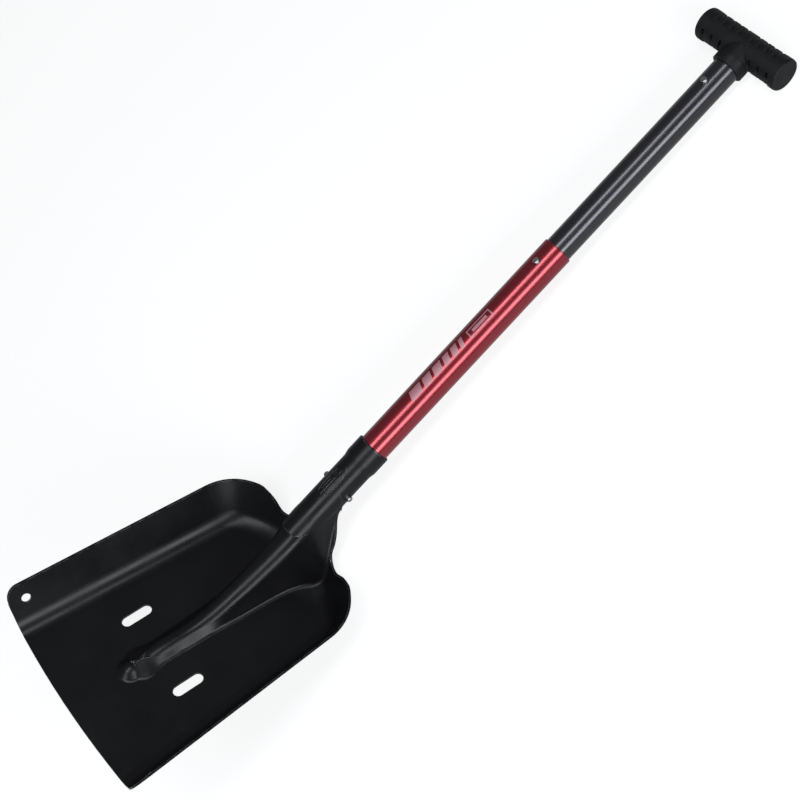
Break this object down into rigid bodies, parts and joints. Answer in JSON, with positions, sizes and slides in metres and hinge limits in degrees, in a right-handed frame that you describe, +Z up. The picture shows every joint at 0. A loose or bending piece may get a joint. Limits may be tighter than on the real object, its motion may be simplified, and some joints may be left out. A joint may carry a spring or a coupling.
{
  "type": "avalanche shovel",
  "caption": "Avalanche shovel with a pressed ribbed scoop blade, a neck socket, and a telescoping two-tube shaft with snap buttons and a T-grip.",
  "frame": {"origin": "middle of the bottom of the box that the shovel fills when it lies on the scoop's heel and the grip, open side up", "axes": "+Y runs along the shovel from the blade's front edge to the grip, +X is across, +Z is up, out of the scoop's open side; the shaft axis slopes down to the grip by under 3 degrees"},
  "size_m": [0.2538, 0.9198, 0.1767],
  "materials": {
    "blade_black": "black anodised, satin",
    "red_anodised": "red anodised, glossy satin",
    "black_anodised": "black anodised, satin",
    "grip_nylon": "fine moulded texture",
    "button_steel": "polished",
    "spring_steel": "plain rolled"
  },
  "bodies": {
    "blade": {"blade": "blade_black"},
    "outer_tube": {"outer_shaft": "red_anodised", "socket_spring": "spring_steel"},
    "inner_tube": {"inner_shaft": "black_anodised", "grip": "grip_nylon", "grip_cap_left": "grip_nylon", "grip_cap_right": "grip_nylon", "grip_rivet": "button_steel", "extend_spring": "spring_steel", "collapse_spring": "spring_steel"},
    "button_left": {"socket_button_left": "button_steel"},
    "button_right": {"socket_button_right": "button_steel"},
    "button_extend": {"extend_button": "button_steel"},
    "button_collapse": {"collapse_button": "button_steel"}
  },
  "joints": [
    {"name": "shaft_release", "type": "slide", "parent": "blade", "child": "outer_tube", "axis": [0, 0.9989, -0.0469], "range_m": [0, 0.12], "deforming": ["socket_button_left", "socket_button_right"]},
    {"name": "telescope", "type": "slide", "parent": "outer_tube", "child": "inner_tube", "axis": [0, 0.9989, -0.0469], "range_m": [-0.235, 0], "deforming": ["extend_button", "collapse_button"]},
    {"name": "socket_button_left_press", "type": "slide", "parent": "outer_tube", "child": "button_left", "axis": [1, 0, 0], "range_m": [0, 0.0065], "stiffness_N_per_m": 1200, "springref_m": -0.002, "deforming": ["socket_spring"]},
    {"name": "socket_button_right_press", "type": "slide", "parent": "outer_tube", "child": "button_right", "axis": [-1, 0, 0], "range_m": [0, 0.0065], "stiffness_N_per_m": 1200, "springref_m": -0.002},
    {"name": "extend_button_press", "type": "slide", "parent": "inner_tube", "child": "button_extend", "axis": [0, -0.0469, -0.9989], "range_m": [0, 0.0045], "stiffness_N_per_m": 1200, "springref_m": -0.002, "deforming": ["extend_spring"]},
    {"name": "collapse_button_press", "type": "slide", "parent": "inner_tube", "child": "button_collapse", "axis": [0, -0.0469, -0.9989], "range_m": [0, 0.0045], "stiffness_N_per_m": 1200, "springref_m": -0.002, "deforming": ["collapse_spring"]}
  ]
}
